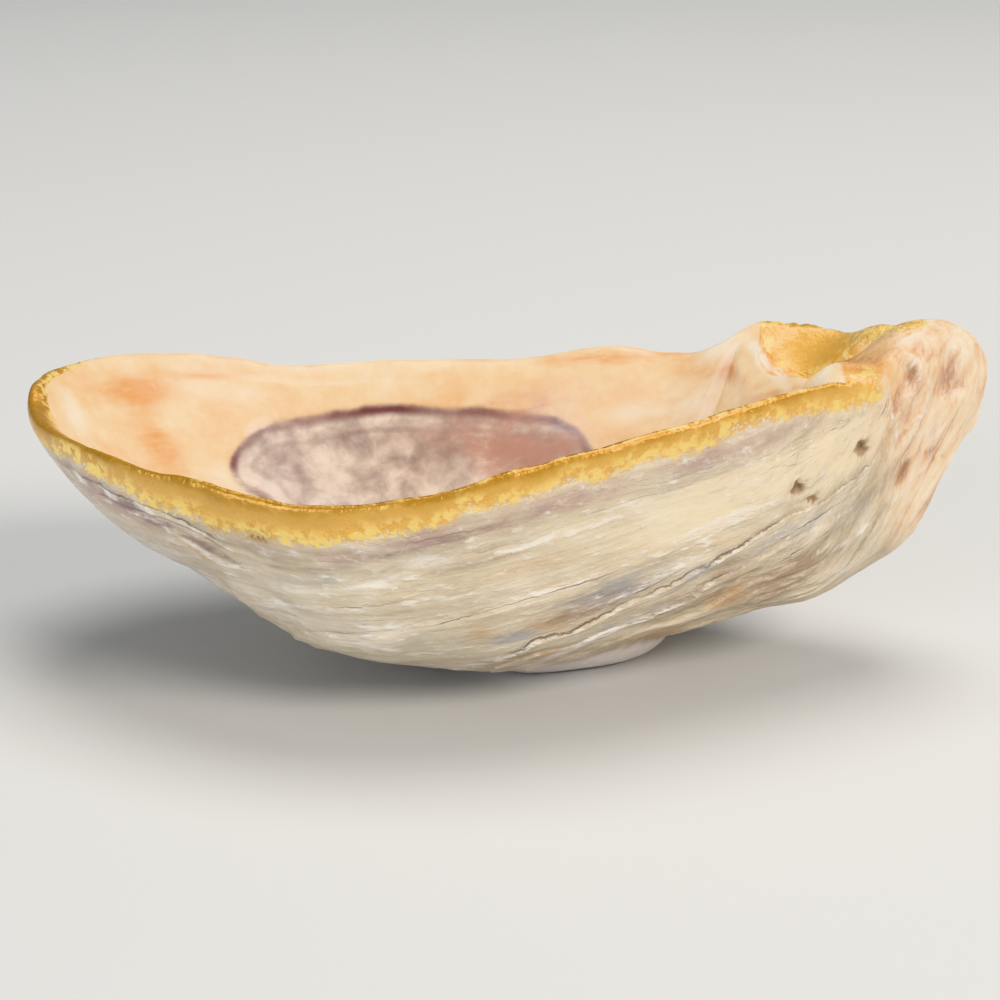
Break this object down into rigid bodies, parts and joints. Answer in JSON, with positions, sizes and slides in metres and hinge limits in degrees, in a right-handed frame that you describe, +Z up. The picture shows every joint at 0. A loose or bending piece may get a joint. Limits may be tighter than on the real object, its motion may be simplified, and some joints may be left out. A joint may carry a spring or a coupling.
{
  "type": "oyster shell",
  "caption": "Cupped oyster valve that lies hollow side up as a small natural dish, with a gilded rim, layered growth ledges, a grooved hinge and a blunt beak.",
  "frame": {"origin": "middle of the shell's outline seen from above, at the height of the surface it rests on", "axes": "+X from the thin tip towards the beak, +Y from the near flank towards the far one, +Z up out of the hollow"},
  "size_m": [0.0784, 0.0402, 0.0293],
  "materials": {
    "shell": "sealed calcite shell, satin, with a gold-painted rim"
  },
  "bodies": {
    "root": {"shell": "shell"}
  },
  "joints": []
}
